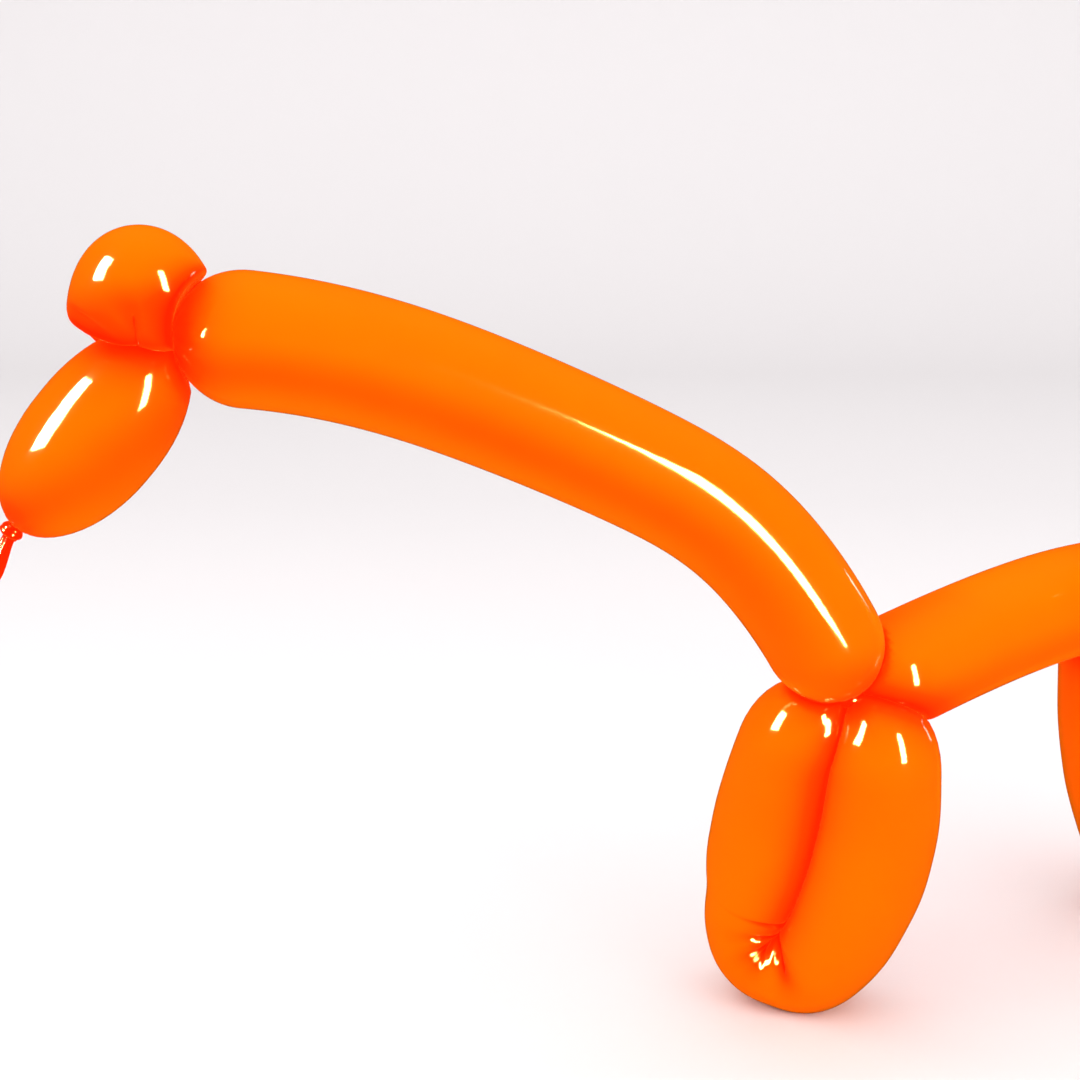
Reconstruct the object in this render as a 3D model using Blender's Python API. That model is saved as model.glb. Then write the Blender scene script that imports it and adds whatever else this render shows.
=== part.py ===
"""Balloon poodle: one orange modelling balloon, blown up, knotted and twisted into a row of bubbles.

Metres, +Z up. The animal looks along -X and stands on the flattened bends of its two leg loops.
Along the balloon come the nozzle, knot, snout, two ears, neck, front legs, body, hind legs, tail and pompom.
"""
import math

import bmesh
import bpy
import numpy as np

MM = 0.001

# Bubble lengths, measured along the middle of the tube
SNOUT_LENGTH = 92.5 * MM
EAR_CHORD = 18.2 * MM
EAR_HEIGHT = 23.7 * MM
NECK_LENGTH = 310 * MM
LEG_LOOP_LENGTH = 244.5 * MM
BODY_LENGTH = 158 * MM
TAIL_LENGTH = 118 * MM
POMPOM_LENGTH = 47 * MM

# Radii of the blown-up tube: one for each bubble
SNOUT_RADIUS = 24.6 * MM
EAR_RADIUS = 18.5 * MM
NECK_RADIUS = 25.1 * MM
NECK_SHOULDER_RADIUS = 23 * MM
FRONT_LEG_RADIUS = 23.6 * MM
BODY_RADIUS = 23.1 * MM
HIND_LEG_RADIUS = 24.2 * MM
TAIL_RADIUS = 21.5 * MM
POMPOM_RADIUS = 22.5 * MM

# How long each bubble's rounded end is
SNOUT_CAP = 44 * MM
NECK_CAP = 26.4 * MM
LEG_CAP = 32.5 * MM
BODY_CAP = 21.3 * MM
TAIL_CAP = 24 * MM

# Stance
SHOULDER_HEIGHT = 145 * MM
FOOT_FLAT = 2.6 * MM
LEG_ENDS_APART = 6 * MM
FRONT_FOOT_AHEAD = -5.6 * MM
HIND_FOOT_BEHIND = 24.4 * MM
FEET_ASIDE = 14 * MM

# Twists, knot, nozzle and tail tip
TWIST_RADIUS = 4.5 * MM
TWIST_END_RADIUS = 1.5 * MM
CONTACT_GAP = 0.3 * MM
FOLD_GAP = 1.0 * MM
KNOT_RADIUS = 4.6 * MM
NOZZLE_RADIUS = 3.2 * MM
NOZZLE_LENGTH = 30 * MM
LIP_RADIUS = 5.2 * MM
TIP_RADIUS = 3.0 * MM
TIP_LENGTH = 14 * MM
SLACK_OVERLAP = 3 * MM

# Headings along each bubble: share of its length, then yaw and pitch in degrees
NECK_TURNS = ((0, 180, 67.5), (0.2, 182, 50.5), (0.4, 183.5, 27.5), (0.65, 187, 22), (1, 192, 2.5))
SNOUT_TURNS = ((0, 182, -52.5), (1, 182, -45.5))
BODY_TURNS = ((0, 28, 15.5), (0.5, 29, 9), (1, 30, -6))
TAIL_TURNS = ((0, -20, 78), (0.5, -38, 58), (1, -50, 30))
NOZZLE_TURNS = ((0, 182, -52), (0.5, 178, -62), (1, 172, -48))

# The ears lie side by side on the snout: the way from the head's twist to theirs, and each one's tilt
EAR_YAW = 182
EAR_PITCH = 4
NEAR_EAR_TILT = -26
FAR_EAR_TILT = 83

# The leg loops: share of the length, then the heading in degrees from straight down, in the loop's plane
LEG_BENDS = ((0, 71), (0.06, 22), (0.12, 13), (0.18, 18), (0.24, -12), (0.33, -10), (0.4, -19), (0.47, -69),
             (0.53, -122), (0.562, -157), (0.58, -200), (0.7, -208), (0.82, -218), (0.92, -219),
             (0.97, -240), (1, -253))
FRONT_LEG_YAW = -22
HIND_LEG_YAW = 30

# The kink low in a leg loop: its place as a share of the length, and how the tube narrows and widens there
KINK_PLACE = 0.585
KINK_LENGTH = 9.4 * MM
KINK_NARROWING = 0.24
KINK_WIDENING = 0.1

# Mesh fineness
LINE_STEPS = 600
SIDES = 16
CAP_RINGS = 5
CAP_RING_PITCH = 5 * MM
FIRST_CAP_RING = 0.35
RING_PITCH = 10 * MM
RING_TURN = math.radians(13)
TURN_SPREAD = 24 * MM
PRESS_REACH = 75 * MM
KINK_REACH = 14 * MM
KINK_ROOM = 0.85
PRESS_ROUNDS = 6
SLACK_RINGS_EACH = 2
SLACK_SIDE_OFFSET = 0.4
SHARP_ANGLE = math.radians(40)

ORANGE = (1.0, 0.22, 0.0, 1.0)
LATEX_ROUGHNESS = 0.12


def clear_scene():
    """Removes whatever the file opened with."""
    for thing in list(bpy.data.objects):
        bpy.data.objects.remove(thing, do_unlink=True)


def blend_along(stations, values, at):
    """Values at the given places, on a smooth curve through the stations that never overshoots them."""
    x = np.asarray(stations, float)
    y = np.asarray(values, float)
    step = np.diff(x)
    slope = np.diff(y) / step
    tangent = np.zeros_like(y)
    tangent[0] = slope[0]
    tangent[-1] = slope[-1]
    for i in range(1, len(x) - 1):
        if slope[i - 1] * slope[i] > 0:
            before = 2 * step[i] + step[i - 1]
            after = step[i] + 2 * step[i - 1]
            tangent[i] = (before + after) / (before / slope[i - 1] + after / slope[i])
    i = np.clip(np.searchsorted(x, at, side="right") - 1, 0, len(x) - 2)
    u = (at - x[i]) / step[i]
    rise = 3 * u**2 - 2 * u**3
    return ((1 - rise) * y[i] + rise * y[i + 1]
            + (u**3 - 2 * u**2 + u) * step[i] * tangent[i]
            + (u**3 - u**2) * step[i] * tangent[i + 1])


def direction(yaw, pitch):
    """Unit vectors for headings in radians."""
    return np.stack([np.cos(pitch) * np.cos(yaw), np.cos(pitch) * np.sin(yaw), np.sin(pitch)], -1)


def line_steps():
    """The middles of the short steps that a centre line is added up from."""
    return (np.arange(LINE_STEPS) + 0.5) / LINE_STEPS


def heading_line(start, length, turns):
    """Centre line that leaves start and follows the headings."""
    share, yaw, pitch = np.array(turns, float).T
    at = line_steps()
    steps = direction(np.radians(blend_along(share, yaw, at)), np.radians(blend_along(share, pitch, at)))
    return np.vstack([start, start + np.cumsum(steps * length / LINE_STEPS, axis=0)])


def foot_drop(top, radius):
    """How far below top the lowest point of a leg loop's centre line lies."""
    return top[2] - (radius - FOOT_FLAT)


def leg_line(top, radius, bends, yaw, shift):
    """U-shaped centre line of a leg loop from top down to the floor and back, and its plane's normal.

    shift moves the foot along the plane.
    """
    share, angle = np.array(bends, float).T
    heading = np.radians(blend_along(share, angle, line_steps()))
    steps = np.stack([np.sin(heading), -np.cos(heading)], -1) * LEG_LOOP_LENGTH / LINE_STEPS
    flat = np.vstack([[0, 0], np.cumsum(steps, axis=0)])
    first_side = math.copysign(LEG_ENDS_APART / 2, angle[0])
    done = np.linspace(0, 1, LINE_STEPS + 1)[:, None]
    start = np.array([first_side, 0])
    flat = flat + start - done * (flat[-1] + 2 * start)
    sink = flat[:, 1] / flat[:, 1].min()
    across = direction(math.radians(yaw), 0.0)
    drop = sink * foot_drop(top, radius)
    line = top + np.outer(flat[:, 0] + shift * sink, across) - np.outer(drop, (0, 0, 1))
    return line, np.cross(across, (0, 0, 1))


def ear_line(head, tilt):
    """Arched centre line of an ear from the head's twist to the ears' own twist, and its plane's normal."""
    along = direction(math.radians(EAR_YAW), math.radians(EAR_PITCH))
    side = np.cross(along, (0, 0, 1))
    side /= np.linalg.norm(side)
    out = math.cos(math.radians(tilt)) * np.cross(side, along) + math.sin(math.radians(tilt)) * side
    angle = np.linspace(0, math.pi, LINE_STEPS + 1)
    forward = EAR_CHORD / 2 * (1 - np.cos(angle))
    line = head + np.outer(forward, along) + np.outer(EAR_HEIGHT * np.sin(angle), out)
    return line, np.cross(along, out)


def distances(line):
    """Distance of each point of a line from its start, along it."""
    return np.concatenate([[0], np.cumsum(np.linalg.norm(np.diff(line, axis=0), axis=1))])


def point_on(line, far, at):
    """Points of a line at the given distances along it."""
    return np.stack([np.interp(at, far, line[:, k]) for k in range(3)], -1)


def ring_places(line, far, cap):
    """Where the rings stand: close together in the caps and where the line turns."""
    rings_in_cap = max(CAP_RINGS, round(cap / CAP_RING_PITCH))
    opening = (np.arange(rings_in_cap) + FIRST_CAP_RING) / rings_in_cap * math.pi / 2
    in_cap = cap * (1 - np.cos(opening))
    heading = np.diff(line, axis=0)
    heading /= np.linalg.norm(heading, axis=1)[:, None]
    turn = np.arccos(np.clip(np.sum(heading[1:] * heading[:-1], axis=1), -1, 1))
    spread = np.ones(2 * round(TURN_SPREAD * LINE_STEPS / far[-1] / 2) + 1)
    turn = np.convolve(turn, spread / len(spread), mode="same")
    rings = np.diff(far) / RING_PITCH
    rings[1:] += turn / RING_TURN
    count = np.concatenate([[0], np.cumsum(rings)])
    first, last = np.interp((cap, far[-1] - cap), far, count)
    middle = np.interp(np.linspace(first, last, max(3, round(last - first))), count, far)
    return np.concatenate([in_cap, middle, far[-1] - in_cap[::-1]])


def ring_frames(line, far, at, plane_normal=None):
    """Centre, heading and two cross directions of each ring."""
    reach = far[-1] / LINE_STEPS
    centre = point_on(line, far, at)
    ahead = point_on(line, far, np.minimum(at + reach, far[-1]))
    behind = point_on(line, far, np.maximum(at - reach, 0))
    heading = ahead - behind
    heading /= np.linalg.norm(heading, axis=1)[:, None]
    if plane_normal is not None:
        upright = np.tile(plane_normal / np.linalg.norm(plane_normal), (len(at), 1))
        cross = np.cross(upright, heading)
        cross /= np.linalg.norm(cross, axis=1)[:, None]
        return centre, heading, cross, np.cross(heading, cross)
    cross = np.zeros_like(heading)
    start = np.cross(heading[0], (1, 0, 0) if abs(heading[0][0]) < 0.7 else (0, 1, 0))
    cross[0] = start / np.linalg.norm(start)
    for i in range(1, len(at)):
        turned = cross[i - 1] - cross[i - 1] @ heading[i] * heading[i]
        cross[i] = turned / np.linalg.norm(turned)
    return centre, heading, cross, np.cross(heading, cross)


def room_inside(line, centre, inward):
    """How far each ring may reach inward before another part of the same tube is as near."""
    away = line[None] - centre[:, None]
    along = np.sum(away * inward[:, None], axis=-1)
    square = np.sum(away**2, axis=-1)
    ahead = along > 1e-3 * np.sqrt(square) + 1e-9
    limit = np.where(ahead, square / np.where(ahead, 2 * along, 1), np.inf)
    limit *= np.where(square < KINK_REACH**2, KINK_ROOM, 1)
    return limit.min(axis=1) - FOLD_GAP / 2


def round_end(share):
    """Radius of a rounded end as a share of the full radius."""
    return np.sqrt(1 - (1 - np.clip(share, 0, 1))**2)


def make_bubble(line, radius, cap, plane_normal=None, start_radius=None, kink_place=None):
    """Rings of one bubble: a tube with rounded ends, flat where it is folded against itself.

    With a start_radius, the tube widens or narrows from it to radius. A kink_place is a share of the length.
    """
    far = distances(line)
    length = far[-1]
    cap = min(cap, length / 2)
    at = ring_places(line, far, cap)
    centre, heading, cross, upright = ring_frames(line, far, at, plane_normal)
    tube = radius if start_radius is None else start_radius + (radius - start_radius) * at / length
    full = tube * math.sqrt(2 * math.pi / (SIDES * math.sin(2 * math.pi / SIDES)))
    size = np.maximum(full * round_end(at / cap) * round_end((length - at) / cap), TWIST_END_RADIUS)
    angle = np.arange(SIDES) / SIDES * 2 * math.pi
    a = np.outer(size, np.cos(angle))
    b = np.outer(size, np.sin(angle))
    if kink_place is not None:
        kinked = np.exp(-((at - kink_place * length) / KINK_LENGTH) ** 2)[:, None]
        a *= 1 - KINK_NARROWING * kinked
        b *= 1 + KINK_WIDENING * kinked
    if plane_normal is not None:
        inner = math.copysign(1, np.sum(np.diff(heading, axis=0) * cross[1:]))
        room = room_inside(line, centre, inner * cross)
        a = inner * np.minimum(inner * a, room[:, None])
    rings = centre[:, None] + a[..., None] * cross[:, None] + b[..., None] * upright[:, None]
    return {"rings": rings, "at": at, "line": line, "far": far, "lead": min(radius, length / 2)}


def lean_aside(bubble, top, drop, aside):
    """Leans a leg loop, so that its foot moves by the vector aside while its top stays."""
    for part in ("rings", "line"):
        sink = (top[2] - bubble[part][..., 2]) / drop
        bubble[part] = bubble[part] + sink[..., None] * aside


def way_out(bubble, end, twist):
    """Unit vector from a twist into the bubble that starts or ends there."""
    at = bubble["lead"] if end == 0 else bubble["far"][-1] - bubble["lead"]
    out = point_on(bubble["line"], bubble["far"], at) - twist
    return out / np.linalg.norm(out)


def press_apart(bubbles, twist, ends):
    """Flattens the bubbles that meet at a twist against each other, half a gap from the planes between them.

    The half of a bubble that is nearer the twist is pressed, or all of a short one.
    """
    ways = {(name, end): way_out(bubbles[name], end, twist) for name, end in ends}
    for (name, end), way in ways.items():
        bubble = bubbles[name]
        nearer = bubble["at"] <= bubble["far"][-1] / 2
        half = nearer if end == 0 else ~nearer
        half |= bubble["far"][-1] < PRESS_REACH
        points = bubble["rings"][half]
        for _ in range(PRESS_ROUNDS):
            for (other, _), other_way in ways.items():
                if other == name:
                    continue
                normal = (way - other_way) / np.linalg.norm(way - other_way)
                from_twist = points - twist
                short = np.maximum(CONTACT_GAP / 2 - from_twist @ normal, 0)
                near = np.linalg.norm(from_twist, axis=-1) < PRESS_REACH
                points = points + (short * near)[..., None] * normal
        bubble["rings"][half] = points


def slack_tube(start, length, turns, profile):
    """Rings of uninflated latex: a thin tube with radii given along it."""
    line = heading_line(start, length, turns)
    far = distances(line)
    share, radius = np.array(profile, float).T
    at = np.append(np.linspace(0, 1, SLACK_RINGS_EACH * len(profile) + 1), 1)
    centre, _, cross, upright = ring_frames(line, far, at * far[-1])
    size = blend_along(share, radius, at)
    angle = (np.arange(SIDES) + SLACK_SIDE_OFFSET) / SIDES * 2 * math.pi
    a = np.outer(size, np.cos(angle))
    b = np.outer(size, np.sin(angle))
    return centre[:, None] + a[..., None] * cross[:, None] + b[..., None] * upright[:, None]


def object_from_rings(name, rings):
    """Closed mesh object over a row of rings, from the middle of the first to the middle of the last."""
    mesh = bmesh.new()
    start, end = (mesh.verts.new(ring.mean(axis=0)) for ring in (rings[0], rings[-1]))
    rows = [[mesh.verts.new(point) for point in ring] for ring in rings[1:-1]]
    for i in range(SIDES):
        j = (i + 1) % SIDES
        mesh.faces.new((start, rows[0][j], rows[0][i]))
        mesh.faces.new((end, rows[-1][i], rows[-1][j]))
        for row, following in zip(rows, rows[1:]):
            mesh.faces.new((row[i], row[j], following[j], following[i]))
    bmesh.ops.recalc_face_normals(mesh, faces=mesh.faces)
    return object_from(name, mesh)


def twist_ball(name, centre, radius):
    """Small knob of latex wrung together at a twist."""
    mesh = bmesh.new()
    bmesh.ops.create_icosphere(mesh, subdivisions=2, radius=radius)
    bmesh.ops.translate(mesh, verts=mesh.verts, vec=tuple(centre))
    return object_from(name, mesh)


def object_from(name, mesh):
    """Object in the scene from a bmesh, which is freed."""
    data = bpy.data.meshes.new(name)
    mesh.to_mesh(data)
    mesh.free()
    made = bpy.data.objects.new(name, data)
    bpy.context.scene.collection.objects.link(made)
    return made


def latex():
    """Glossy orange latex."""
    material = bpy.data.materials.new("orange latex")
    material.use_nodes = True
    shader = material.node_tree.nodes["Principled BSDF"]
    shader.inputs["Base Color"].default_value = ORANGE
    shader.inputs["Roughness"].default_value = LATEX_ROUGHNESS
    shader.inputs["Metallic"].default_value = 0.0
    return material


def shape_animal():
    """Rings of every bubble, pressed apart, and the places of the twists."""
    shoulder = np.array((0, 0, SHOULDER_HEIGHT))
    neck = heading_line(shoulder, NECK_LENGTH, NECK_TURNS)
    head = neck[-1]
    snout = heading_line(head, SNOUT_LENGTH, SNOUT_TURNS)
    near_ear, near_plane = ear_line(head, NEAR_EAR_TILT)
    far_ear, far_plane = ear_line(head, FAR_EAR_TILT)
    front_legs, front_plane = leg_line(shoulder, FRONT_LEG_RADIUS, LEG_BENDS, FRONT_LEG_YAW,
                                       -FRONT_FOOT_AHEAD)
    body = heading_line(shoulder, BODY_LENGTH, BODY_TURNS)
    hip = body[-1]
    mirrored = [(share, -angle) for share, angle in LEG_BENDS]
    hind_legs, hind_plane = leg_line(hip, HIND_LEG_RADIUS, mirrored, HIND_LEG_YAW, HIND_FOOT_BEHIND)
    tail = heading_line(hip, TAIL_LENGTH, TAIL_TURNS)
    tail_end = tail[-1]
    last_heading = TAIL_TURNS[-1][1:]
    straight_on = ((0, *last_heading), (1, *last_heading))
    pompom = heading_line(tail_end, POMPOM_LENGTH, straight_on)

    ear_cap = distances(near_ear)[-1] / 2
    bubbles = {
        "snout": make_bubble(snout, SNOUT_RADIUS, SNOUT_CAP),
        "near ear": make_bubble(near_ear, EAR_RADIUS, ear_cap, near_plane),
        "far ear": make_bubble(far_ear, EAR_RADIUS, ear_cap, far_plane),
        "neck": make_bubble(neck, NECK_RADIUS, NECK_CAP, start_radius=NECK_SHOULDER_RADIUS),
        "front legs": make_bubble(front_legs, FRONT_LEG_RADIUS, LEG_CAP, front_plane, kink_place=KINK_PLACE),
        "body": make_bubble(body, BODY_RADIUS, BODY_CAP),
        "hind legs": make_bubble(hind_legs, HIND_LEG_RADIUS, LEG_CAP, hind_plane, kink_place=KINK_PLACE),
        "tail": make_bubble(tail, TAIL_RADIUS, TAIL_CAP),
        "pompom": make_bubble(pompom, POMPOM_RADIUS, POMPOM_LENGTH / 2),
    }
    front_drop = foot_drop(shoulder, FRONT_LEG_RADIUS)
    hind_drop = foot_drop(hip, HIND_LEG_RADIUS)
    lean_aside(bubbles["front legs"], shoulder, front_drop, -FEET_ASIDE * front_plane)
    lean_aside(bubbles["hind legs"], hip, hind_drop, -FEET_ASIDE * hind_plane)
    press_apart(bubbles, shoulder, (("neck", 0), ("front legs", 0), ("front legs", 1), ("body", 0)))
    press_apart(bubbles, head, (("neck", 1), ("snout", 0), ("near ear", 0), ("far ear", 0)))
    press_apart(bubbles, near_ear[-1], (("near ear", 1), ("far ear", 1)))
    press_apart(bubbles, hip, (("body", 1), ("hind legs", 0), ("hind legs", 1), ("tail", 0)))
    press_apart(bubbles, tail_end, (("tail", 1), ("pompom", 0)))

    rows = {name: bubble["rings"] for name, bubble in bubbles.items()}
    for rings in rows.values():
        rings[..., 2] = np.maximum(rings[..., 2], 0)

    out_of_snout = direction(*np.radians(NOZZLE_TURNS[0][1:]))
    rows["nozzle"] = slack_tube(snout[-1] - SLACK_OVERLAP * out_of_snout, NOZZLE_LENGTH, NOZZLE_TURNS,
                                ((0, TWIST_END_RADIUS), (0.2, KNOT_RADIUS), (0.36, NOZZLE_RADIUS * 0.8),
                                 (0.6, NOZZLE_RADIUS), (0.85, LIP_RADIUS * 0.8), (1, LIP_RADIUS)))
    out_of_pompom = direction(*np.radians(last_heading))
    rows["tip"] = slack_tube(pompom[-1] - SLACK_OVERLAP * out_of_pompom, TIP_LENGTH, straight_on,
                             ((0, TIP_RADIUS), (0.7, TIP_RADIUS), (1, TIP_RADIUS / 2)))
    twists = (shoulder, head, near_ear[-1], hip, tail_end)
    return rows, twists


def unite(first, others):
    """Joins the closed pieces into one closed body."""
    tools = bpy.data.collections.new("tools")
    for other in others:
        tools.objects.link(other)
    union = first.modifiers.new("union", "BOOLEAN")
    union.operation = "UNION"
    union.solver = "EXACT"
    union.operand_type = "COLLECTION"
    union.collection = tools
    graph = bpy.context.evaluated_depsgraph_get()
    joined = bpy.data.meshes.new_from_object(first.evaluated_get(graph))
    first.modifiers.clear()
    first.data = joined
    for other in others:
        bpy.data.objects.remove(other, do_unlink=True)
    bpy.data.collections.remove(tools)


def centre_on_floor(thing):
    """Moves the mesh so that the origin is under the middle of its box, on the floor."""
    low = np.array([corner[:] for corner in thing.bound_box]).min(axis=0)
    high = np.array([corner[:] for corner in thing.bound_box]).max(axis=0)
    middle = (low + high) / 2
    for vertex in thing.data.vertices:
        vertex.co.x -= middle[0]
        vertex.co.y -= middle[1]
        vertex.co.z -= low[2]
    thing.data.update()


def build():
    """The whole balloon as one object."""
    clear_scene()
    rows, twists = shape_animal()
    pieces = [object_from_rings(name, rings) for name, rings in rows.items()]
    pieces += [twist_ball(f"twist {i}", twist, TWIST_RADIUS) for i, twist in enumerate(twists)]
    balloon = pieces[0]
    unite(balloon, pieces[1:])
    centre_on_floor(balloon)
    balloon.name = "balloon"
    balloon.data.name = "balloon"
    balloon.data.materials.clear()
    balloon.data.materials.append(latex())
    balloon.data.shade_smooth()
    balloon.data.set_sharp_from_angle(angle=SHARP_ANGLE)
    return balloon


build()
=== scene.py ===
"""Balloon poodle, dressed: smooth glossy orange latex over the frame, pale studio, camera and lights.

Metres, +Z up, the animal looks along -X. The centre lines repeat the part's own, with a fine mesh round
them, soft dents where the bubbles press together, wrung pleats at the twists, creases in the folds of the
leg loops, a tied knot with a rolled nozzle, and a limp tip on the pom-pom.
"""
import math

import bpy
import numpy as np
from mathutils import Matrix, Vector


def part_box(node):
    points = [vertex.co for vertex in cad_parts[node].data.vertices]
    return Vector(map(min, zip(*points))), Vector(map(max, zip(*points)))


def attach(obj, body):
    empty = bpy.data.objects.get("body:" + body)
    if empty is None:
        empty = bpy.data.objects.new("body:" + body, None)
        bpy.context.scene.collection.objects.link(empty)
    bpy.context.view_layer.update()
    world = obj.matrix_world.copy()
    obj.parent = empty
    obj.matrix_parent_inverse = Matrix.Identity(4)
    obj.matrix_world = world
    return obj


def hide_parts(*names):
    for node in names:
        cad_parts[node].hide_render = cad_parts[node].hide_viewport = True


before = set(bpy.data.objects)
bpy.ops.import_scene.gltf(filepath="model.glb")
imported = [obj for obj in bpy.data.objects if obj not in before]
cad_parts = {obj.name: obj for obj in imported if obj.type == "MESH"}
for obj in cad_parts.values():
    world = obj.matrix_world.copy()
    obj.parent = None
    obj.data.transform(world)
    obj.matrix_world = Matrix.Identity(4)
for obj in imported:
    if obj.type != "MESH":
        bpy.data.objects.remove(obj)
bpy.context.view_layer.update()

MM = 0.001

# Bubble lengths, radii and rounded ends, as in the part
SNOUT_LENGTH = 92.5 * MM
EAR_CHORD = 18.2 * MM
EAR_HEIGHT = 23.7 * MM
NECK_LENGTH = 310 * MM
BODY_LENGTH = 158 * MM
TAIL_LENGTH = 118 * MM
POMPOM_LENGTH = 47 * MM

SNOUT_RADIUS = 24.6 * MM
EAR_RADIUS = 18.5 * MM
NECK_RADIUS = 25.1 * MM
NECK_SHOULDER_RADIUS = 23 * MM
FRONT_LEG_RADIUS = 23.6 * MM
BODY_RADIUS = 23.1 * MM
HIND_LEG_RADIUS = 24.2 * MM
TAIL_RADIUS = 21.5 * MM
POMPOM_RADIUS = 22.5 * MM

SNOUT_CAP = 44 * MM
NECK_CAP = 26.4 * MM
LEG_CAP = 32.5 * MM
EAR_CAP = 9 * MM
BODY_CAP = 21.3 * MM
TAIL_CAP = 24 * MM

# Stance, as in the part
SHOULDER_HEIGHT = 145 * MM
FOOT_FLAT = 2.6 * MM
FOOT_HALF = 17.6 * MM
FEET_ASIDE = 13.6 * MM

# Headings along each bubble, as in the part: share of its length, then yaw and pitch in degrees
NECK_TURNS = ((0, 180, 67.5), (0.2, 182, 50.5), (0.4, 183.5, 27.5), (0.65, 187, 22), (1, 192, 2.5))
SNOUT_TURNS = ((0, 182, -52.5), (1, 182, -45.5))
BODY_TURNS = ((0, 28, 15.5), (0.5, 29, 9), (1, 30, -6))
TAIL_TURNS = ((0, -20, 78), (0.5, -38, 58), (1, -50, 30))
NOZZLE_TURNS = ((0, 182, -52), (0.5, 178, -62), (1, 172, -48))
EAR_YAW = 182
EAR_PITCH = 4
NEAR_EAR_TILT = -26
FAR_EAR_TILT = 83
FRONT_LEG_YAW = -22
HIND_LEG_YAW = 30

# The fold low on the near ear, mm from the head's twist, and the way that its lower side faces
EAR_FOLD_PLACE = (-26.4, -28, 14.7)
EAR_FOLD_FACING = (-0.56, -0.29, -0.77)
EAR_FOLD_DEPTH = 2.2 * MM
EAR_FOLD_WIDTH = 1.2 * MM
EAR_FOLD_REACH = 10 * MM

# The way from the head to the side where its contact lines show
HEAD_SEEN_FROM = (0.18, -0.94, 0.27)

# Middle of the front loop, mm: across from the twist, down from it, and half the loop's thickness there
LEG_LOOP = ((-3, 0, 24), (-8.5, 6.9, 24), (-17.3, 18.1, 24), (-24.1, 35.1, 23.8), (-30.2, 57.1, 24),
            (-35.2, 79.5, 23.2), (-40.2, 95, 19), (-45, 107.5, 13.5), (-43, 119.5, 13), (-32, 128.5, 16.5),
            (-18, 129, 19.5), (-4.5, 114, 22.5), (3, 95, 24.2), (9.3, 73.3, 24.9), (13, 44.8, 24.5),
            (12.8, 23.1, 24), (9.2, 9.5, 24), (3, 0, 24))
LOOP_SMOOTHING = 45
HIND_LOOP_SHIFT = 30 * MM

# How much less red the painted crease shade is on the limb further back, and how suddenly it changes at the
# bend
SHADED_LIMB = 0.55
SHADE_CHANGE = 8

# How the latex gives where bubbles press together or fold
CONTACT_GAP = 0.1 * MM
PRESS_SOFTNESS = 2 * MM
LEAST_SOFTNESS = 0.1 * MM
SOFTNESS_GROWTH = 0.07
HEAD_SOFTNESS_SHARE = 2
PRESS_REACH = 75 * MM
PRESS_FADE = 20 * MM
PRESS_ROUNDS = 4
FOLD_GAP = -0.4 * MM
FOLD_SOFTNESS = 3 * MM
KINK_REACH = 14 * MM
KINK_ROOM = 0.9

# Where two bubbles press, the firmer one bulges into the other
BULGE = 3 * MM
BULGE_REACH = 18 * MM
BULGE_PLACE = 14 * MM
FIRMER = {"front legs": 1, "hind legs": 1}

# How far the folded side may swell to close the crease, and how deep the painted shade of a crease reaches
LEG_STRETCH = 2.2
EAR_STRETCH = 1.4
EAR_FOLD_SOFTNESS = 1.2 * MM
# How red the painted shade makes the ear's creases and its fold
EAR_CREASE_SHADE = 0.4
CREASE_SHADE_REACH = 6 * MM
EAR_FOLD_SHADE = 0.6

# Pleats round each twist
TWIST_END_RADIUS = 1.5 * MM
PLEATS = 11
PLEAT_DEPTH = 0.13
PLEAT_LENGTH = 3.2 * MM
SLACK_LENGTH = 6 * MM

# Knot, nozzle, limp tip and the knobs of wrung latex, within the part's own
KNOT_RADIUS = 4.6 * MM
KNOT_STRAND = 0.42
KNOT_TURNS = 2
KNOT_PLACE = 0.2
KNOT_PITCH = 1.3
KNOT_SLOPE = 0.35
KNOT_END_LENGTH = 3 * MM
STRAND_END_RADIUS = 0.4 * MM
NOZZLE_RADIUS = 3.2 * MM
NOZZLE_LENGTH = 30 * MM
LIP_RADIUS = 5.2 * MM
LIP_ROLL = 0.9 * MM
CLOSED_RADIUS = 0.3 * MM
TIP_RADIUS = 3 * MM
TIP_LENGTH = 14 * MM
SLACK_OVERLAP = 3 * MM
SLACK_WRINKLE = 0.07
SLACK_FINE_WRINKLE = 0.6
TWIST_RADIUS = 4.2 * MM
BIG_TWIST_RADIUS = 7 * MM
TWIST_WIDTH = 0.85

# Mesh fineness
LINE_STEPS = 1200
SIDES = 64
RING_PITCH = 1.9 * MM
RING_TURN = math.radians(3)
TURN_SPREAD = 24 * MM
CAP_RINGS = 16
KNOT_RINGS = 120
NOZZLE_RINGS = 40
MOUTH_RINGS = 14
TIP_RINGS = 40
TWIST_RINGS = 24

# Latex: gloss, a velvety rim, a painted red glow where slack or creased, and its colour by how red it is
# there
LATEX_IOR = 1.5
GLOSS_TINT = (1.0, 0.5, 0.1, 1.0)
SMOOTHEST = 0.05
ROUGHEST = 0.1
RIM_WEIGHT = 0.22
RIM_ROUGHNESS = 0.4
RIM_TINT = (1.0, 0.5, 0.03, 1.0)
PAINTED_GLOW_COLOUR = (1.0, 0.02, 0.0, 1.0)
PAINTED_GLOW_STRENGTH = 0.5
CLOUD_SHARE = 0.12
LATEX_COLOURS = ((0.03, (1.0, 0.14, 0.0, 1)), (0.5, (1.0, 0.045, 0.0, 1)), (1.0, (0.9, 0.006, 0.0, 1)))

# Painted shade: how much redder the latex is made low on its sides, where less light comes through, away from
# the pale floor; the shares are of the turn from facing down to facing up
UNDERSIDE_PAINTED_SHADE = 0.26
UNDERSIDE_FROM = 0.08
UNDERSIDE_MOST = 0.34
UNDERSIDE_TO = 0.62
FLOOR_LIT_BELOW = 60 * MM
FLOOR_UNLIT_ABOVE = 220 * MM

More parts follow.
